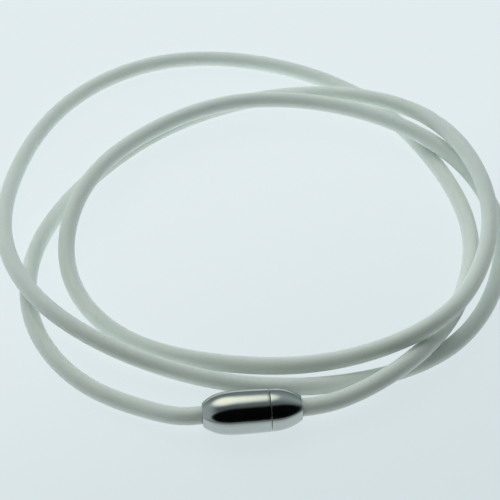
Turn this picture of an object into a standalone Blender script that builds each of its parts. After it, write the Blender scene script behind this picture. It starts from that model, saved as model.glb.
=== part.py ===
"""Wrap-round wrist band: a white silicone cord in three loose turns, closed by a magnetic steel clasp.

The clasp lies along X with its lowest line on z = 0 and its middle at x = y = 0. The long half is on the -X
side. The cord leaves the long half, goes three times round and comes back into the short half.
"""
import math

import bmesh
import bpy
import numpy as np

MM = 0.001

# Cord
CORD_DIAMETER = 2.5 * MM
CORD_BORE_DIAMETER = 1.0 * MM
CORE_DIAMETER = 0.7 * MM
CORD_STEPS = 76

# Clasp, outside
CLASP_DIAMETER = 6.1 * MM
LONG_LENGTH = 9.2 * MM
LONG_TAPER = 5.6 * MM
LONG_END_DIAMETER = 3.3 * MM
LONG_FACE_DIAMETER = 5.98 * MM
LONG_FULLNESS = 3.3
SHORT_LENGTH = 4.3 * MM
SHORT_FACE_DIAMETER = 5.94 * MM
SHORT_END_DIAMETER = 3.4 * MM
SHORT_FULLNESS = 2.35
SEAM_GAP = 0.1 * MM

# Clasp, inside
FIT_GAP = 0.1 * MM
FACE_GAP = 0.05 * MM
LONG_CUP_DEPTH = 3.6 * MM
SHORT_CUP_DEPTH = 2.7 * MM
GLUE_THICKNESS = 0.25 * MM
LONG_WEB = 0.7 * MM
SHORT_WEB = 0.6 * MM
NOSE_LENGTH = 1.5 * MM
NOSE_DIAMETER = 3.7 * MM
NOSE_WALL = 0.45 * MM
NOSE_PLAY = 0.15 * MM
PIN_DIAMETER = 0.6 * MM
PIN_HEAD_DIAMETER = 1.6 * MM
PIN_HEAD_THICKNESS = 0.3 * MM
PIN_REACH = 1.6 * MM

# Mesh fineness
TURN_STEPS = 24
TAPER_STEPS = 8

# Places along the clasp's axis, from the long half's end to the short half's end
AXIS_HEIGHT = CLASP_DIAMETER / 2
LONG_END_X = -(LONG_LENGTH + SEAM_GAP + SHORT_LENGTH) / 2
LONG_FACE_X = LONG_END_X + LONG_LENGTH
SHORT_FACE_X = LONG_FACE_X + SEAM_GAP
SHORT_END_X = SHORT_FACE_X + SHORT_LENGTH
NOSE_TIP_X = SHORT_FACE_X - NOSE_LENGTH
LONG_CUP_X = LONG_END_X + LONG_CUP_DEPTH
LONG_WEB_X = LONG_CUP_X + LONG_WEB
SHORT_CUP_X = SHORT_END_X - SHORT_CUP_DEPTH
SHORT_WEB_X = SHORT_CUP_X - SHORT_WEB
GLUE_STACK = GLUE_THICKNESS + 2 * FACE_GAP
LONG_CORD_X = LONG_CUP_X - GLUE_STACK
SHORT_CORD_X = SHORT_CUP_X + GLUE_STACK
PIN_STACK = PIN_HEAD_THICKNESS + 2 * FACE_GAP

# Radii that follow from the fits
CUP_R = CORD_DIAMETER / 2 + FIT_GAP
SOCKET_R = NOSE_DIAMETER / 2 + NOSE_PLAY
NOSE_BORE_R = NOSE_DIAMETER / 2 - NOSE_WALL
WEB_HOLE_R = PIN_DIAMETER / 2 + FIT_GAP

# The cord's free run in mm, from the long half's mouth round to the short half's mouth
FREE_RUN_MM = [
    (-8.5, 0.0, 3.0), (-14.5, 2.6, 2.0), (-21.5, 7.2, 1.45), (-29.5, 19.5, 1.4),
    (-29.2, 35.0, 1.35), (-21.2, 48.7, 1.35), (-9.0, 59.5, 1.35), (5.3, 65.0, 1.6),
    (20.2, 63.2, 3.5), (31.8, 55.9, 5.2), (37.4, 45.5, 6.3), (38.9, 32.5, 5.9),
    (34.9, 20.2, 5.9), (27.1, 10.6, 6.7), (14.0, 7.5, 3.8), (-3.0, 10.2, 1.4),
    (-17.3, 16.8, 1.4), (-24.4, 29.7, 2.0), (-21.9, 44.0, 4.0), (-11.5, 56.2, 4.0),
    (3.0, 62.3, 4.0), (18.6, 60.1, 4.1), (29.7, 53.2, 4.4), (37.2, 45.6, 3.1),
    (40.9, 34.5, 1.45), (38.4, 22.0, 1.35), (29.7, 10.4, 1.35), (15.0, 5.2, 1.35),
    (-0.7, 6.0, 1.6), (-16.0, 11.5, 3.0), (-28.0, 21.3, 4.2), (-33.6, 35.0, 3.2),
    (-32.5, 50.8, 1.55), (-24.4, 66.9, 1.35), (-9.0, 76.3, 1.35), (10.0, 74.2, 1.35),
    (25.3, 63.4, 1.35), (33.4, 48.6, 1.35), (36.2, 31.0, 1.35), (32.9, 19.8, 1.75),
    (28.4, 12.0, 3.25), (22.6, 5.8, 4.25), (15.3, 1.7, 3.6), (9.0, 0.1, 3.1),
]


def clear_scene():
    for item in list(bpy.data.objects):
        bpy.data.objects.remove(item, do_unlink=True)


def material(name, colour, roughness, metallic=0.0):
    made = bpy.data.materials.new(name)
    made.use_nodes = True
    shader = made.node_tree.nodes["Principled BSDF"]
    shader.inputs["Base Color"].default_value = (*colour, 1.0)
    shader.inputs["Roughness"].default_value = roughness
    shader.inputs["Metallic"].default_value = metallic
    return made


def empty(name, place):
    made = bpy.data.objects.new(name, None)
    made.location = place
    bpy.context.collection.objects.link(made)
    return made


def turned(name, profile, parent, finish):
    """A closed profile of (x, radius) points turned once round the clasp's axis."""
    mesh = bpy.data.meshes.new(name)
    shape = bmesh.new()
    corners = [shape.verts.new((x, 0.0, radius)) for x, radius in profile]
    edges = [shape.edges.new(pair) for pair in zip(corners, corners[1:] + corners[:1])]
    bmesh.ops.spin(shape, geom=corners + edges, cent=(0, 0, 0), axis=(1, 0, 0), angle=2 * math.pi,
                   steps=TURN_STEPS, use_merge=True, use_duplicate=False)
    bmesh.ops.remove_doubles(shape, verts=shape.verts, dist=0.001 * MM)
    on_axis = [edge for edge in shape.edges if not edge.link_faces]
    bmesh.ops.delete(shape, geom=on_axis, context="EDGES")
    bmesh.ops.recalc_face_normals(shape, faces=shape.faces)
    shape.to_mesh(mesh)
    shape.free()
    mesh.shade_smooth()
    mesh.set_sharp_from_angle(angle=math.radians(35))
    mesh.materials.append(finish)
    made = bpy.data.objects.new(name, mesh)
    made.parent = parent
    bpy.context.collection.objects.link(made)
    return made


def taper(from_x, from_r, to_x, to_r, fullness):
    """Points of a rounded taper from its small end to its full radius."""
    points = []
    for step in range(TAPER_STEPS + 1):
        along = step / TAPER_STEPS
        points.append((from_x + (to_x - from_x) * along, to_r - (to_r - from_r) * (1 - along) ** fullness))
    return points


def long_half(axis, steel, magnetic, brass, glue):
    end_r = LONG_END_DIAMETER / 2
    full_r = CLASP_DIAMETER / 2
    outside = taper(LONG_END_X, end_r, LONG_END_X + LONG_TAPER, full_r, LONG_FULLNESS)
    outside += [(LONG_FACE_X, LONG_FACE_DIAMETER / 2)]
    inside = [(LONG_FACE_X, SOCKET_R), (LONG_WEB_X, SOCKET_R), (LONG_WEB_X, WEB_HOLE_R),
              (LONG_CUP_X, WEB_HOLE_R), (LONG_CUP_X, CUP_R), (LONG_END_X, CUP_R)]
    turned("long_shell", outside + inside, axis, steel)
    disc("long_magnet", LONG_WEB_X + PIN_STACK, NOSE_TIP_X - FACE_GAP, SOCKET_R - FIT_GAP, axis, magnetic)
    pin("long_contact_pin", LONG_WEB_X + FACE_GAP, LONG_CORD_X - PIN_REACH, axis, brass)
    glue_ring("long_cord_glue", LONG_CORD_X + FACE_GAP, LONG_CUP_X - FACE_GAP, axis, glue)


def short_half(axis, steel, magnetic, brass, glue):
    end_r = SHORT_END_DIAMETER / 2
    face_r = SHORT_FACE_DIAMETER / 2
    outside = taper(SHORT_END_X, end_r, SHORT_FACE_X, face_r, SHORT_FULLNESS)
    outside += [(SHORT_FACE_X, NOSE_DIAMETER / 2), (NOSE_TIP_X, NOSE_DIAMETER / 2)]
    inside = [(NOSE_TIP_X, NOSE_BORE_R), (SHORT_WEB_X, NOSE_BORE_R), (SHORT_WEB_X, WEB_HOLE_R),
              (SHORT_CUP_X, WEB_HOLE_R), (SHORT_CUP_X, CUP_R), (SHORT_END_X, CUP_R)]
    turned("short_shell", outside + inside, axis, steel)
    disc("short_magnet", NOSE_TIP_X + FACE_GAP, SHORT_WEB_X - PIN_STACK, NOSE_BORE_R - FIT_GAP, axis, magnetic)
    pin("short_contact_pin", SHORT_WEB_X - FACE_GAP, SHORT_CORD_X + PIN_REACH, axis, brass)
    glue_ring("short_cord_glue", SHORT_CUP_X + FACE_GAP, SHORT_CORD_X - FACE_GAP, axis, glue)


def disc(name, from_x, to_x, radius, axis, finish):
    turned(name, [(from_x, 0.0), (from_x, radius), (to_x, radius), (to_x, 0.0)], axis, finish)


def pin(name, web_x, tip_x, axis, finish):
    """A headed pin: the head lies on the web, the shank goes through it into the cord and ends in a point."""
    towards = math.copysign(1.0, tip_x - web_x)
    head_x = web_x - towards * PIN_HEAD_THICKNESS
    shank_r = PIN_DIAMETER / 2
    point_x = tip_x - towards * PIN_DIAMETER
    profile = [(head_x, 0.0), (head_x, PIN_HEAD_DIAMETER / 2), (web_x, PIN_HEAD_DIAMETER / 2),
               (web_x, shank_r), (point_x, shank_r), (tip_x, 0.0)]
    turned(name, profile, axis, finish)


def glue_ring(name, from_x, to_x, axis, finish):
    outer_r = CUP_R - FACE_GAP
    profile = [(from_x, WEB_HOLE_R), (from_x, outer_r), (to_x, outer_r), (to_x, WEB_HOLE_R)]
    turned(name, profile, axis, finish)


def natural_spline(points):
    """The knots of a natural cubic spline through the points, and its second derivatives there."""
    knots = np.concatenate([[0.0], np.cumsum(np.linalg.norm(np.diff(points, axis=0), axis=1))])
    gaps = np.diff(knots)
    slopes = np.diff(points, axis=0) / gaps[:, None]
    system = np.eye(len(points))
    sides = np.zeros_like(points)
    for k in range(1, len(points) - 1):
        system[k, k - 1:k + 2] = gaps[k - 1], 2 * (gaps[k - 1] + gaps[k]), gaps[k]
        sides[k] = 6 * (slopes[k] - slopes[k - 1])
    return knots, np.linalg.solve(system, sides)


def smooth_run(points, count):
    """Evenly spaced points on a smooth curve through the given points."""
    points = np.array(points)
    knots, bends = natural_spline(points)
    gaps = np.diff(knots)
    places = np.linspace(0.0, knots[-1], count)
    spans = np.clip(np.searchsorted(knots, places, side="right") - 1, 0, len(gaps) - 1)
    gap = gaps[spans][:, None]
    after = (places - knots[spans])[:, None] / gap
    before = 1 - after
    curved = (before ** 3 - before) * bends[spans] + (after ** 3 - after) * bends[spans + 1]
    return before * points[spans] + after * points[spans + 1] + curved * gap ** 2 / 6


def cord_line():
    """The cord's middle line: straight inside each cup and smooth in between."""
    long_mouth = (LONG_END_X, 0.0, AXIS_HEIGHT)
    short_mouth = (SHORT_END_X, 0.0, AXIS_HEIGHT)
    free_run = [tuple(value * MM for value in point) for point in FREE_RUN_MM]
    run = smooth_run([long_mouth, *free_run, short_mouth], CORD_STEPS)
    return [(LONG_CORD_X, 0.0, AXIS_HEIGHT), *map(tuple, run), (SHORT_CORD_X, 0.0, AXIS_HEIGHT)]


def tube(name, line, diameter, capped, finish):
    curve = bpy.data.curves.new(name, "CURVE")
    curve.dimensions = "3D"
    curve.bevel_depth = diameter / 2
    curve.bevel_resolution = 2
    curve.use_fill_caps = capped
    spline = curve.splines.new("POLY")
    spline.points.add(len(line) - 1)
    for point, place in zip(spline.points, line):
        point.co = (*place, 1.0)
    curve.materials.append(finish)
    made = bpy.data.objects.new(name, curve)
    bpy.context.collection.objects.link(made)
    return made


def cord(silicone, yarn):
    line = cord_line()
    jacket = tube("cord_jacket", line, CORD_DIAMETER, False, silicone)
    wall = jacket.modifiers.new("wall", "SOLIDIFY")
    wall.thickness = (CORD_DIAMETER - CORD_BORE_DIAMETER) / 2
    wall.offset = -1.0
    core_line = [(LONG_CORD_X - PIN_REACH - FIT_GAP, 0.0, AXIS_HEIGHT), *line[1:-1],
                 (SHORT_CORD_X + PIN_REACH + FIT_GAP, 0.0, AXIS_HEIGHT)]
    tube("cord_core", core_line, CORE_DIAMETER, True, yarn)


def build():
    clear_scene()
    steel = material("polished_steel", (0.78, 0.77, 0.74), 0.12, 1.0)
    magnetic = material("magnet_plating", (0.55, 0.55, 0.57), 0.3, 1.0)
    brass = material("pin_brass", (0.75, 0.58, 0.28), 0.3, 1.0)
    glue = material("set_glue", (0.80, 0.76, 0.62), 0.4)
    silicone = material("white_silicone", (0.83, 0.85, 0.83), 0.55)
    yarn = material("conductive_yarn", (0.12, 0.12, 0.13), 0.8)
    axis_place = (0.0, 0.0, AXIS_HEIGHT)
    long_half(empty("long_half_axis", axis_place), steel, magnetic, brass, glue)
    short_half(empty("short_half_axis", axis_place), steel, magnetic, brass, glue)
    cord(silicone, yarn)


build()
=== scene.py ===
"""Looks of the wrap-round wrist band: white silicone cord in three loose turns and a polished steel clasp."""
import math

import bpy
import numpy as np
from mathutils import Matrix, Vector


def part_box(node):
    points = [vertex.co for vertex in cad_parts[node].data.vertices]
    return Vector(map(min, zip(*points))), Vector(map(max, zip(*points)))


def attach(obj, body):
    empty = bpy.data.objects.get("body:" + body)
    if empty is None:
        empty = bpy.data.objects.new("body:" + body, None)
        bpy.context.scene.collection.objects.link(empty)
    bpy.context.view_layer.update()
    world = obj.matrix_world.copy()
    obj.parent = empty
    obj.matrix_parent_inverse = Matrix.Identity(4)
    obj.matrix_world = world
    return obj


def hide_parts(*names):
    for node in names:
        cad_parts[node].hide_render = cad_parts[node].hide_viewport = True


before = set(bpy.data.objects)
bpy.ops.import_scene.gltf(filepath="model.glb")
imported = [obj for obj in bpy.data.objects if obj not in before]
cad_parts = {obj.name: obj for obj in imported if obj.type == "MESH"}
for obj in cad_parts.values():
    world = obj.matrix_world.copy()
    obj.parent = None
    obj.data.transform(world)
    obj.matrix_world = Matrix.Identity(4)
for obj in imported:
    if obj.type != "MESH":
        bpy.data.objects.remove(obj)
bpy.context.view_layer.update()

MM = 0.001
BLACK = (0.0, 0.0, 0.0, 1.0)

# Places of the colour sockets on a Mix node
MIX_FIRST = 6
MIX_SECOND = 7
MIX_RESULT = 2

# Places and sizes read from the frame
LONG_LOW, LONG_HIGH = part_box("long_shell")
SHORT_LOW, SHORT_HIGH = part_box("short_shell")
AXIS_HEIGHT = (LONG_LOW[2] + LONG_HIGH[2]) / 2
CLASP_R = (LONG_HIGH[2] - LONG_LOW[2]) / 2
SHORT_R = (SHORT_HIGH[2] - SHORT_LOW[2]) / 2
LONG_END_X = LONG_LOW[0]
LONG_FACE_X = LONG_HIGH[0]
NOSE_TIP_X = SHORT_LOW[0]
SHORT_END_X = SHORT_HIGH[0]

# Clasp, as the part has it
SEAM_GAP = 0.1 * MM
SHORT_FACE_X = LONG_FACE_X + SEAM_GAP
LONG_END_R = 1.65 * MM
LONG_TAPER = 5.6 * MM
LONG_FULLNESS = 3.3
LONG_FACE_R = 2.99 * MM
BARREL_FULLNESS = 2.0
SHORT_END_R = 1.70 * MM
SHORT_FULLNESS = 2.35
CUP_R = 1.35 * MM
LONG_CUP_DEPTH = 3.6 * MM
SHORT_CUP_DEPTH = 2.7 * MM
LONG_WEB = 0.7 * MM
SHORT_WEB = 0.6 * MM
WEB_HOLE_R = 0.4 * MM
SOCKET_R = 2.0 * MM
NOSE_R = 1.85 * MM
NOSE_BORE_R = 1.4 * MM
EDGE_R = 0.035 * MM
EDGE_STEPS = 3
EDGE_SHARE = 0.45
SHARP_BELOW = math.radians(150)
SMOOTH_BELOW = math.radians(40)
TAPER_STEPS = 32
BARREL_STEPS = 8
TURN_SIDES = 128

# Cord
CORD_R = 1.25 * MM
CORD_SIDES = 28
CORD_STEP = 0.7 * MM
CORD_IN_LONG_CUP = 1.2 * MM
CORD_IN_SHORT_CUP = 2.2 * MM
FREE_RUN_MM = [
    (-8.5, 0.0, 3.0), (-14.5, 2.6, 2.0), (-21.5, 7.2, 1.45), (-29.5, 19.5, 1.4),
    (-29.2, 35.0, 1.35), (-21.2, 48.7, 1.35), (-9.0, 59.5, 1.35), (5.3, 65.0, 1.6),
    (20.2, 63.2, 3.5), (31.8, 55.9, 5.2), (37.4, 45.5, 6.3), (38.9, 32.5, 5.9),
    (34.9, 20.2, 5.9), (27.1, 10.6, 6.7), (14.0, 7.5, 3.8), (-3.0, 10.2, 1.4),
    (-17.3, 16.8, 1.4), (-24.4, 29.7, 2.0), (-21.9, 44.0, 4.0), (-11.5, 56.2, 4.0),
    (3.0, 62.3, 4.0), (18.6, 60.1, 4.1), (29.7, 53.2, 4.4), (37.2, 45.6, 3.1),
    (40.9, 34.5, 1.45), (38.4, 22.0, 1.35), (29.7, 10.4, 1.35), (15.0, 5.2, 1.35),
    (-0.7, 6.0, 1.6), (-16.0, 11.5, 3.0), (-28.0, 21.3, 4.2), (-33.6, 35.0, 3.2),
    (-32.5, 50.8, 1.55), (-24.4, 66.9, 1.35), (-9.0, 76.3, 1.35), (10.0, 74.2, 1.35),
    (25.3, 63.4, 1.35), (33.4, 48.6, 1.35), (36.2, 31.0, 1.35), (32.9, 19.8, 1.75),
    (28.4, 12.0, 3.25), (22.6, 5.8, 4.25), (15.3, 1.7, 3.6), (9.0, 0.1, 3.1),
]

# Camera
CAMERA_AIM = Vector((2.9, 33.1, 0.0)) * MM
CAMERA_DISTANCE = 253.5 * MM
CAMERA_AZIMUTH = -5.5
CAMERA_ELEVATION = 46.5
CAMERA_LENS = 120.5
SENSOR = 36.0
CAMERA_CLIP = 10 * MM

# Table top: its colours as the camera sees it, and its light by millimetres in front of the clasp
FLOOR_HALF = 3.0
FLOOR_COLOUR = (0.10, 0.10, 0.10, 1.0)
FLOOR_ROUGHNESS = 0.6
FLOOR_SHINE = 0.2
FLOOR_SEEN_BACK = (0.694, 0.768, 0.789, 1.0)
FLOOR_SEEN_FRONT = (0.606, 0.679, 0.708, 1.0)
FLOOR_LIT_WAY = (0.0, -1.0, 0.0)
FLOOR_LIT_TINT = (0.90, 1.0, 1.03)
FLOOR_LIT_BY_PLACE = ((-70, 0.85), (-30, 0.78), (0, 0.72), (8, 0.72), (34, 0.18))
FLOOR_SHADE = 0.655
FLOOR_SHADE_MIDDLE = Vector((7.0, 8.5, 0.0)) * MM
FLOOR_SHADE_REACH = Vector((20.0, 10.5, 1.0)) * MM
FLOOR_SHADE_FULL_TO = 0.35
# Painted falloff of light: the camera sees the table darker from back to front along this way
FLOOR_DIM_WAY = (0.4, -1.0, 0.0)
FLOOR_DIM_FROM = -48 * MM
FLOOR_DIM_TO = 36 * MM

# Dark card behind the camera: its azimuth and elevation, its size, and where its edges go soft
CARD_WAY = (13.0, 34.0)
CARD_DISTANCE = 275 * MM
CARD_SIZE = (1150 * MM, 490 * MM)
CARD_COLOUR = (0.004, 0.004, 0.004, 1.0)
CARD_SOFT_FROM = 0.36
CARD_SOFT_TO = 0.50

# Light tent: its level by the angle over the clasp's axis, in half turns, and a soft light behind
TENT_COLOUR = (0.86, 1.0, 1.03, 1.0)
BACKDROP_COLOUR = (0.76, 0.84, 0.855, 1.0)
TENT_BY_ANGLE = ((0.0, 0.20), (0.30, 0.18), (0.40, 0.10), (0.48, 0.18),
                 (0.60, 0.36), (0.70, 0.46), (0.80, 0.36), (1.0, 0.20))
LEFT_LIGHT = 0.5
LEFT_FROM = 0.42
LEFT_FULL = 0.95
BACK_LIGHT_WAY = (-0.20, 0.50, 0.84)
BACK_LIGHT_REACH = 5.0
BACK_LIGHT_FADE = 28.0
BACK_LIGHT = 1.12
BACK_LIGHT_COLOUR = (1.0, 1.0, 0.84, 1.0)

# Lamp that lights the cord from behind
LAMP_PLACE = Vector((6.0, 128.0, 120.0)) * MM
LAMP_AIM = Vector((4.0, 40.0, 0.0)) * MM
LAMP_SIZE = 240 * MM
LAMP_WATTS = 0.075
LAMP_COLOUR = (0.87, 1.0, 1.15)

# Colours that each finish goes between
STEEL_DARK = (0.455, 0.485, 0.475, 1.0)
STEEL_LIGHT = (0.59, 0.615, 0.585, 1.0)
SILICONE_DARK = (0.83, 0.875, 0.815, 1.0)
SILICONE_LIGHT = (0.875, 0.92, 0.87, 1.0)
SPECK_COLOUR = (0.42, 0.43, 0.40, 1.0)
NICKEL_DARK = (0.47, 0.46, 0.44, 1.0)
NICKEL_LIGHT = (0.60, 0.59, 0.57, 1.0)
BRASS_DARK = (0.62, 0.45, 0.19, 1.0)
BRASS_LIGHT = (0.78, 0.60, 0.30, 1.0)
GLUE_DARK = (0.66, 0.60, 0.44, 1.0)
GLUE_LIGHT = (0.80, 0.75, 0.60, 1.0)
YARN_DARK = (0.03, 0.03, 0.033, 1.0)
YARN_LIGHT = (0.16, 0.16, 0.17, 1.0)


class Field:
    """A shader socket that Python's arithmetic works on."""

    def __init__(self, finish, socket):
        self.finish = finish
        self.socket = socket

    def sum_with(self, operation, first, second):
        return self.finish.node("ShaderNodeMath", {"operation": operation}, {0: first, 1: second})

    def __add__(self, other):
        return self.sum_with("ADD", self, other)

    __radd__ = __add__

    def __mul__(self, other):
        return self.sum_with("MULTIPLY", self, other)

    __rmul__ = __mul__

    def __sub__(self, other):
        return self.sum_with("SUBTRACT", self, other)

    def __rsub__(self, other):
        return self.sum_with("SUBTRACT", other, self)

    def __truediv__(self, other):
        return self.sum_with("DIVIDE", self, other)


class Finish:
    """A node tree of one material or of the world, with one method that adds any node."""

    def __init__(self, owner):
        owner.use_nodes = True
        self.owner = owner
        self.tree = owner.node_tree

    def node(self, kind, settings=None, inputs=None, output=0):
        made = self.tree.nodes.new(kind)
        for name, value in (settings or {}).items():
            if name == "stops":
                self.set_stops(made.color_ramp, value)
            else:
                setattr(made, name, value)
        for name, value in (inputs or {}).items():
            self.feed(made.inputs[name], value)
        return Field(self, made.outputs[output])

    def set_stops(self, ramp, stops):
        while len(ramp.elements) < len(stops):
            ramp.elements.new(0.5)
        for element, (place, colour) in zip(ramp.elements, stops):
            element.position = place
            element.color = colour

    def feed(self, socket, value):
        if isinstance(value, Field):
            self.tree.links.new(value.socket, socket)
        else:
            socket.default_value = value

    def shader(self, **inputs):
        principled = self.tree.nodes["Principled BSDF"]
        for name, value in inputs.items():
            self.feed(principled.inputs[name.replace("_", " ")], value)

    def place(self):
        return self.node("ShaderNodeTexCoord", output="Object")

    def stretched(self, place, scale):
        return self.node("ShaderNodeMapping", {}, {"Vector": place, "Scale": scale})

    def noise(self, place, scale, detail=3.0, roughness=0.5):
        inputs = {"Vector": place, "Scale": scale, "Detail": detail, "Roughness": roughness}
        return self.node("ShaderNodeTexNoise", {}, inputs)

    def mix(self, share, first, second):
        inputs = {"Factor": share, MIX_FIRST: first, MIX_SECOND: second}
        return self.node("ShaderNodeMix", {"data_type": "RGBA"}, inputs, MIX_RESULT)

    def ramp(self, value, stops):
        return self.node("ShaderNodeValToRGB", {"stops": stops}, {"Fac": value})

    def spread(self, value, low, high, to_low, to_high):
        inputs = {"Value": value, "From Min": low, "From Max": high, "To Min": to_low, "To Max": to_high}
        return self.node("ShaderNodeMapRange", {}, inputs)

    def fade(self, value, low, high):
        inputs = {"Value": value, "From Min": low, "From Max": high}
        return self.node("ShaderNodeMapRange", {"interpolation_type": "SMOOTHSTEP"}, inputs)

    def dot(self, vector, way):
        return self.node("ShaderNodeVectorMath", {"operation": "DOT_PRODUCT"}, {0: vector, 1: way}, "Value")

    def length(self, vector):
        return self.node("ShaderNodeVectorMath", {"operation": "LENGTH"}, {0: vector}, "Value")

    def part(self, vector, axis):
        return self.node("ShaderNodeSeparateXYZ", {}, {"Vector": vector}, axis)

    def bump(self, height, distance, strength, under=None):
        inputs = {"Height": height, "Distance": distance, "Strength": strength}
        if under:
            inputs["Normal"] = under
        return self.node("ShaderNodeBump", {}, inputs)


def new_finish(name):
    """A new material of that name, to be given its nodes."""
    return Finish(bpy.data.materials.new(name))


def put_on(piece, finish):
    """Gives the piece that finish and no other."""
    piece.data.materials.clear()
    piece.data.materials.append(finish.owner)


def steel_finish():
    """Polished stainless steel: streaks along the axis, slight waves, faint scuffs and finger haze."""
    finish = new_finish("polished_steel")
    place = finish.place()
    waves = finish.noise(place, scale=420.0, detail=1.0)
    along_axis = finish.stretched(place, (0.10, 1.0, 1.0))
    streaks = finish.noise(along_axis, scale=3600.0, detail=4.0, roughness=0.65)
    round_axis = finish.stretched(place, (1.0, 0.02, 0.02))
    rings = finish.noise(round_axis, scale=9000.0, detail=2.0)
    haze = finish.noise(place, scale=700.0, detail=4.0, roughness=0.6)
    drawn_out = finish.stretched(place, (0.3, 1.0, 1.0))
    scratches = finish.noise(drawn_out, scale=9000.0, detail=3.0, roughness=0.7)
    scuffs = finish.fade(scratches, low=0.60, high=0.74)
    roughness = 0.06 + haze * 0.08 + streaks * 0.05 + scuffs * 0.08
    fine = finish.bump(rings * 0.3 + streaks * 0.5 + scuffs * 0.4, distance=0.004 * MM, strength=0.3)
    wavy = finish.bump(waves, distance=0.16 * MM, strength=0.12, under=fine)
    colour = finish.mix(streaks * 0.6 + haze * 0.4, STEEL_DARK, STEEL_LIGHT)
    finish.shader(Base_Color=colour, Metallic=1.0, Roughness=roughness, Normal=wavy)
    return finish


def silicone_finish():
    """White extruded silicone: faint lines along it, a fine matt grain, soft mottling and faint specks."""
    finish = new_finish("white_silicone")
    run = finish.node("ShaderNodeUVMap", {"uv_map": "run"})
    place = finish.place()
    mottle = finish.noise(place, scale=160.0, detail=3.0, roughness=0.55)
    grain = finish.noise(place, scale=9000.0, detail=2.0, roughness=0.6)
    lines = finish.noise(finish.stretched(run, (0.12, 26.0, 1.0)), scale=1.0, detail=3.0, roughness=0.6)
    dots = finish.noise(place, scale=1500.0, detail=1.0)
    specks = finish.spread(dots, low=0.74, high=0.78, to_low=0.0, to_high=1.0)
    clean = finish.mix(mottle, SILICONE_DARK, SILICONE_LIGHT)
    colour = finish.mix(specks * 0.18, clean, SPECK_COLOUR)
    roughness = 0.44 + mottle * 0.12 + grain * 0.06
    height = grain * 0.5 + lines * 0.5
    finish.shader(Base_Color=colour, Roughness=roughness, Subsurface_Weight=0.7, Subsurface_Scale=1.0 * MM,
                  Subsurface_Radius=(1.0, 1.0, 0.9), IOR=1.41,
                  Normal=finish.bump(height, distance=0.012 * MM, strength=0.35))
    return finish


def magnet_finish():
    """Nickel plating with tumbled scratches."""
    finish = new_finish("magnet_plating")
    tumbled = finish.noise(finish.place(), scale=2600.0, detail=4.0, roughness=0.65)
    colour = finish.mix(tumbled, NICKEL_DARK, NICKEL_LIGHT)
    finish.shader(Base_Color=colour, Metallic=1.0, Roughness=0.2 + tumbled * 0.22,
                  Normal=finish.bump(tumbled, distance=0.006 * MM, strength=0.3))
    return finish


def brass_finish():
    """Turned brass with a slight tarnish."""
    finish = new_finish("pin_brass")
    place = finish.place()
    rings = finish.noise(finish.stretched(place, (1.0, 0.02, 0.02)), scale=12000.0, detail=2.0)
    tarnish = finish.noise(place, scale=1800.0)
    colour = finish.mix(tarnish, BRASS_DARK, BRASS_LIGHT)
    finish.shader(Base_Color=colour, Metallic=1.0, Roughness=0.22 + tarnish * 0.2,
                  Normal=finish.bump(rings, distance=0.004 * MM, strength=0.3))
    return finish


def glue_finish():
    """Set glue, faintly amber and uneven."""
    finish = new_finish("set_glue")
    flow = finish.noise(finish.place(), scale=1400.0)
    colour = finish.mix(flow, GLUE_DARK, GLUE_LIGHT)
    finish.shader(Base_Color=colour, Roughness=0.25 + flow * 0.2,
                  Normal=finish.bump(flow, distance=0.01 * MM, strength=0.4))
    return finish


def yarn_finish():
    """Dark twisted yarn: slanting strands across fine fibre."""
    finish = new_finish("conductive_yarn")
    place = finish.place()
    fibre = finish.noise(place, scale=9000.0, detail=4.0, roughness=0.7)
    strands = finish.node("ShaderNodeTexWave", {"bands_direction": "DIAGONAL"},
                          {"Vector": place, "Scale": 900.0, "Distortion": 1.5}, "Fac")
    colour = finish.mix(strands * 0.7 + fibre * 0.3, YARN_DARK, YARN_LIGHT)
    finish.shader(Base_Color=colour, Roughness=0.7 + fibre * 0.2,
                  Normal=finish.bump(strands, distance=0.05 * MM, strength=0.6))
    return finish


def taper(from_x, from_r, to_x, to_r, fullness, steps=TAPER_STEPS):
    """Points of a rounded taper from its small end to its full radius."""
    points = []
    for step in range(steps + 1):
        along = step / steps
        points.append((from_x + (to_x - from_x) * along, to_r - (to_r - from_r) * (1 - along) ** fullness))
    return points


def rounded(corners, radius):
    """A closed outline of (x, radius) corners with each sharp corner turned into a small arc."""
    outline = []
    count = len(corners)
    for k in range(count):
        before, here, after = (Vector(corners[(k + step) % count]) for step in (-1, 0, 1))
        back, on = before - here, after - here
        if back.angle(on) > SHARP_BELOW:
            outline.append(tuple(here))
            continue
        reach = min(radius, back.length * EDGE_SHARE, on.length * EDGE_SHARE)
        start, end = here + back.normalized() * reach, here + on.normalized() * reach
        for step in range(EDGE_STEPS + 1):
            on_way = step / EDGE_STEPS
            left = 1 - on_way
            outline.append(tuple(left ** 2 * start + 2 * on_way * left * here + on_way ** 2 * end))
    return outline


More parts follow.
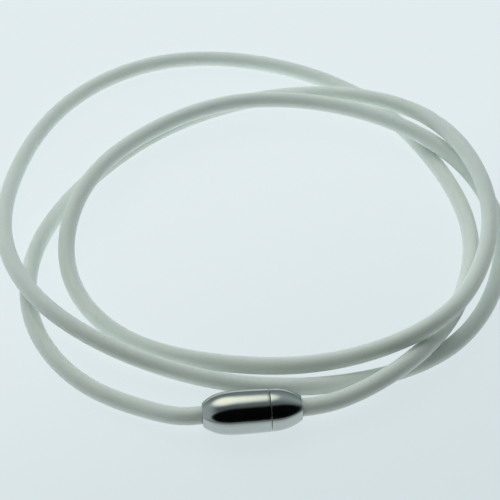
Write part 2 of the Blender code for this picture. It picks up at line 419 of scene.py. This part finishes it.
def turned(name, outline):
    """A ring drawn out step by step along the clasp's axis through the outline, and closed on itself."""
    bpy.ops.object.select_all(action="DESELECT")
    first_x, first_r = outline[0]
    bpy.ops.mesh.primitive_circle_add(vertices=TURN_SIDES, radius=first_r, fill_type="NOTHING",
                                      location=(first_x, 0.0, AXIS_HEIGHT), rotation=(0.0, math.pi / 2, 0.0))
    piece = bpy.context.object
    piece.name = name
    piece.data.name = name
    bpy.ops.object.transform_apply(location=True, rotation=True, scale=True)
    bpy.ops.object.mode_set(mode="EDIT")
    bpy.ops.mesh.select_all(action="SELECT")
    for (x, radius), (next_x, next_r) in zip(outline, outline[1:]):
        bpy.ops.mesh.extrude_edges_move(TRANSFORM_OT_translate={"value": (next_x - x, 0.0, 0.0)})
        share = next_r / radius
        bpy.ops.transform.resize(value=(1.0, share, share), center_override=(next_x, 0.0, AXIS_HEIGHT))
    bpy.ops.mesh.select_all(action="DESELECT")
    bpy.ops.mesh.select_non_manifold()
    bpy.ops.mesh.bridge_edge_loops()
    bpy.ops.mesh.select_all(action="SELECT")
    bpy.ops.mesh.normals_make_consistent(inside=False)
    bpy.ops.object.mode_set(mode="OBJECT")
    bpy.ops.object.shade_smooth_by_angle(angle=SMOOTH_BELOW)
    return piece


def long_shell():
    """The long half: blunt end, rounded taper, nearly straight barrel, socket for the nose."""
    taper_end_x = LONG_END_X + LONG_TAPER
    cup_x = LONG_END_X + LONG_CUP_DEPTH
    web_x = cup_x + LONG_WEB
    corners = taper(LONG_END_X, LONG_END_R, taper_end_x, CLASP_R, LONG_FULLNESS)
    barrel = taper(LONG_FACE_X, LONG_FACE_R, taper_end_x, CLASP_R, BARREL_FULLNESS, BARREL_STEPS)
    corners += reversed(barrel[:-1])
    corners += [(LONG_FACE_X, SOCKET_R), (web_x, SOCKET_R), (web_x, WEB_HOLE_R),
                (cup_x, WEB_HOLE_R), (cup_x, CUP_R), (LONG_END_X, CUP_R)]
    return turned("clasp_long_shell", rounded(corners, EDGE_R))


def short_shell():
    """The short half: blunt end, rounded taper up to the seam, and the nose with its magnet pocket."""
    cup_x = SHORT_END_X - SHORT_CUP_DEPTH
    web_x = cup_x - SHORT_WEB
    corners = taper(SHORT_END_X, SHORT_END_R, SHORT_FACE_X, SHORT_R, SHORT_FULLNESS)
    corners += [(SHORT_FACE_X, NOSE_R), (NOSE_TIP_X, NOSE_R), (NOSE_TIP_X, NOSE_BORE_R), (web_x, NOSE_BORE_R),
                (web_x, WEB_HOLE_R), (cup_x, WEB_HOLE_R), (cup_x, CUP_R), (SHORT_END_X, CUP_R)]
    return turned("clasp_short_shell", rounded(corners, EDGE_R))


def natural_spline(points):
    """The knots of a natural cubic spline through the points, and its second derivatives there."""
    knots = np.concatenate([[0.0], np.cumsum(np.linalg.norm(np.diff(points, axis=0), axis=1))])
    gaps = np.diff(knots)
    slopes = np.diff(points, axis=0) / gaps[:, None]
    system = np.eye(len(points))
    sides = np.zeros_like(points)
    for k in range(1, len(points) - 1):
        system[k, k - 1:k + 2] = gaps[k - 1], 2 * (gaps[k - 1] + gaps[k]), gaps[k]
        sides[k] = 6 * (slopes[k] - slopes[k - 1])
    return knots, np.linalg.solve(system, sides)


def smooth_run(points, step):
    """Closely spaced points on a smooth curve through the given points."""
    points = np.array(points)
    knots, bends = natural_spline(points)
    gaps = np.diff(knots)
    places = np.linspace(0.0, knots[-1], round(knots[-1] / step) + 1)
    spans = np.clip(np.searchsorted(knots, places, side="right") - 1, 0, len(gaps) - 1)
    gap = gaps[spans][:, None]
    after = (places - knots[spans])[:, None] / gap
    before = 1 - after
    curved = (before ** 3 - before) * bends[spans] + (after ** 3 - after) * bends[spans + 1]
    return before * points[spans] + after * points[spans + 1] + curved * gap ** 2 / 6


def cord_line():
    """The cord's middle line, from inside one cup round the three turns into the other."""
    long_mouth = (LONG_END_X, 0.0, AXIS_HEIGHT)
    short_mouth = (SHORT_END_X, 0.0, AXIS_HEIGHT)
    free_run = [tuple(value * MM for value in point) for point in FREE_RUN_MM]
    run = smooth_run([long_mouth, *free_run, short_mouth], CORD_STEP)
    first = (LONG_END_X + CORD_IN_LONG_CUP, 0.0, AXIS_HEIGHT)
    last = (SHORT_END_X - CORD_IN_SHORT_CUP, 0.0, AXIS_HEIGHT)
    return np.vstack([first, run, last])


def carried_frames(line):
    """Two directions square to the line at each point, carried along it without twist."""
    tangents = np.gradient(line, axis=0)
    tangents /= np.linalg.norm(tangents, axis=1)[:, None]
    side = np.cross(tangents[0], (0.0, 0.0, 1.0))
    sides = []
    for tangent in tangents:
        side = side - tangent * (side @ tangent)
        side = side / np.linalg.norm(side)
        sides.append(side)
    sides = np.array(sides)
    return sides, np.cross(tangents, sides)


def cord_tube(line):
    """The cord as one closed round tube, with a map that runs along and around it."""
    sides, ups = carried_frames(line)
    angles = np.linspace(0.0, 2 * math.pi, CORD_SIDES, endpoint=False)
    ring = np.cos(angles)[None, :, None] * sides[:, None] + np.sin(angles)[None, :, None] * ups[:, None]
    corners = (line[:, None] + CORD_R * ring).reshape(-1, 3)
    faces = []
    for k in range(len(line) - 1):
        for j in range(CORD_SIDES):
            here, beside = k * CORD_SIDES + j, k * CORD_SIDES + (j + 1) % CORD_SIDES
            faces.append((here, beside, beside + CORD_SIDES, here + CORD_SIDES))
    last = (len(line) - 1) * CORD_SIDES
    faces.append(tuple(reversed(range(CORD_SIDES))))
    faces.append(tuple(range(last, last + CORD_SIDES)))
    mesh = bpy.data.meshes.new("cord")
    mesh.from_pydata(corners.tolist(), [], faces)
    along = np.concatenate([[0.0], np.cumsum(np.linalg.norm(np.diff(line, axis=0), axis=1))]) / (2 * CORD_R)
    run = mesh.uv_layers.new(name="run")
    for face in mesh.polygons:
        for loop in face.loop_indices:
            ring_index, side_index = divmod(mesh.loops[loop].vertex_index, CORD_SIDES)
            turn = side_index / CORD_SIDES
            run.data[loop].uv = (along[ring_index], min(turn, 1 - turn) * 2)
    mesh.shade_smooth()
    piece = bpy.data.objects.new("cord", mesh)
    bpy.context.collection.objects.link(piece)
    return piece, along[-1] * 2 * CORD_R


def floor():
    """A wide pale table top that glows; as a light it fades near the camera and under the front turns."""
    bpy.ops.object.select_all(action="DESELECT")
    bpy.ops.mesh.primitive_plane_add(size=2 * FLOOR_HALF, location=(0.0, 0.0, 0.0))
    piece = bpy.context.object
    piece.name = "table_top"
    finish = new_finish("table_top")
    seen = finish.node("ShaderNodeLightPath", output="Is Camera Ray")
    first, last = FLOOR_LIT_BY_PLACE[0][0], FLOOR_LIT_BY_PLACE[-1][0]
    stops = [((place - first) / (last - first), (*(level * share for share in FLOOR_LIT_TINT), 1.0))
             for place, level in FLOOR_LIT_BY_PLACE]
    nearer = finish.spread(finish.dot(finish.place(), FLOOR_LIT_WAY), first * MM, last * MM, 0.0, 1.0)
    as_light = finish.ramp(nearer, stops)
    scale = [1.0 / reach for reach in FLOOR_SHADE_REACH]
    shift = [-middle * share for middle, share in zip(FLOOR_SHADE_MIDDLE, scale)]
    spot = finish.node("ShaderNodeMapping", {}, {"Vector": finish.place(), "Location": shift, "Scale": scale})
    shade = (1.0 - finish.fade(finish.length(spot), FLOOR_SHADE_FULL_TO, 1.0)) * FLOOR_SHADE
    as_light = finish.mix(shade, as_light, BLACK)
    # Painted falloff of light: the table as the camera sees it is darker towards the front
    painted_front_falloff = finish.fade(finish.dot(finish.place(), FLOOR_DIM_WAY), FLOOR_DIM_FROM, FLOOR_DIM_TO)
    as_seen = finish.mix(painted_front_falloff, FLOOR_SEEN_BACK, FLOOR_SEEN_FRONT)
    finish.shader(Base_Color=FLOOR_COLOUR, Roughness=FLOOR_ROUGHNESS, Specular_IOR_Level=FLOOR_SHINE,
                  Emission_Color=finish.mix(seen, as_light, as_seen), Emission_Strength=1.0)
    put_on(piece, finish)


def way_to(azimuth, elevation):
    """The direction at an angle round from the front and an angle up from the table."""
    azimuth, elevation = math.radians(azimuth), math.radians(elevation)
    return Vector((math.sin(azimuth) * math.cos(elevation), -math.cos(azimuth) * math.cos(elevation),
                   math.sin(elevation)))


def dark_card():
    """A soft-edged black card behind the camera, the dark that the clasp mirrors."""
    way = way_to(*CARD_WAY)
    bpy.ops.object.select_all(action="DESELECT")
    bpy.ops.mesh.primitive_plane_add(size=1.0, location=way * CARD_DISTANCE,
                                     rotation=way.to_track_quat("Z", "Y").to_euler())
    piece = bpy.context.object
    piece.name = "dark_card"
    piece.scale = (*CARD_SIZE, 1.0)
    piece.visible_camera = False
    finish = new_finish("dark_card")
    from_middle = finish.length(finish.place())
    finish.shader(Base_Color=CARD_COLOUR, Roughness=1.0, Specular_IOR_Level=0.0,
                  Alpha=1.0 - finish.fade(from_middle, CARD_SOFT_FROM, CARD_SOFT_TO))
    put_on(piece, finish)


def light_tent():
    """A white tent: dark where the camera looks in, brighter behind and on the left."""
    world = bpy.data.worlds.new("light_tent")
    bpy.context.scene.world = world
    finish = Finish(world)
    way = finish.node("ShaderNodeTexCoord", output="Generated")
    across = finish.part(way, "X")
    over = finish.node("ShaderNodeMath", {"operation": "ARCTAN2"},
                       {0: finish.part(way, "Z"), 1: 0.0 - finish.part(way, "Y")}) / math.pi
    wall = finish.ramp(over, [(place, (level, level, level, 1.0)) for place, level in TENT_BY_ANGLE])
    left = finish.fade(0.0 - across, LEFT_FROM, LEFT_FULL)
    nearness = finish.dot(way, Vector(BACK_LIGHT_WAY).normalized())
    back = finish.fade(nearness, math.cos(math.radians(BACK_LIGHT_REACH + BACK_LIGHT_FADE)),
                       math.cos(math.radians(BACK_LIGHT_REACH)))
    level = wall * (1.0 - left) + left * LEFT_LIGHT + back * BACK_LIGHT
    tint = finish.mix(back, TENT_COLOUR, BACK_LIGHT_COLOUR)
    seen = finish.node("ShaderNodeLightPath", output="Is Camera Ray")
    background = finish.tree.nodes["Background"]
    finish.feed(background.inputs["Color"], finish.mix(seen, tint, BACKDROP_COLOUR))
    finish.feed(background.inputs["Strength"], level * (1.0 - seen) + seen)


def back_lamp():
    """A large soft lamp behind and above the turns of cord, which the clasp doesn't mirror."""
    data = bpy.data.lights.new("back_lamp", "AREA")
    data.size = LAMP_SIZE
    data.energy = LAMP_WATTS
    data.color = LAMP_COLOUR
    made = bpy.data.objects.new("back_lamp", data)
    bpy.context.collection.objects.link(made)
    made.location = LAMP_PLACE
    made.visible_glossy = False
    made.rotation_euler = (LAMP_AIM - LAMP_PLACE).to_track_quat("-Z", "Y").to_euler()


def camera():
    """The camera at the photograph's angle, aimed at the middle of the turns."""
    data = bpy.data.cameras.new("camera")
    made = bpy.data.objects.new("camera", data)
    bpy.context.collection.objects.link(made)
    back = way_to(CAMERA_AZIMUTH, CAMERA_ELEVATION)
    made.location = CAMERA_AIM + back * CAMERA_DISTANCE
    made.rotation_euler = (-back).to_track_quat("-Z", "Y").to_euler()
    data.lens = CAMERA_LENS
    data.sensor_width = SENSOR
    data.clip_start = CAMERA_CLIP
    bpy.context.scene.camera = made


def dress_clasp():
    """Both shells in the same steel, each on its own half."""
    steel = steel_finish()
    for piece, node, body in ((long_shell(), "long_shell", "long_half"),
                              (short_shell(), "short_shell", "short_half")):
        put_on(piece, steel)
        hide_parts(node)
        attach(piece, body)


def dress_inner_pieces():
    """The pieces inside keep their solids and get their own finishes."""
    finishes = {"magnet": magnet_finish(), "contact_pin": brass_finish(), "cord_glue": glue_finish()}
    for half in ("long", "short"):
        for kind, finish in finishes.items():
            put_on(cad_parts[f"{half}_{kind}"], finish)
    put_on(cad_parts["cord_core"], yarn_finish())


def dress_cord():
    """One smooth cord along the route, in place of the jacket's solid and round the core."""
    line = cord_line()
    piece, length = cord_tube(line)
    put_on(piece, silicone_finish())
    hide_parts("cord_jacket")
    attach(piece, "cord")


dress_cord()
dress_clasp()
dress_inner_pieces()
floor()
dark_card()
light_tent()
back_lamp()
camera()
bpy.context.scene.view_settings.view_transform = "Standard"
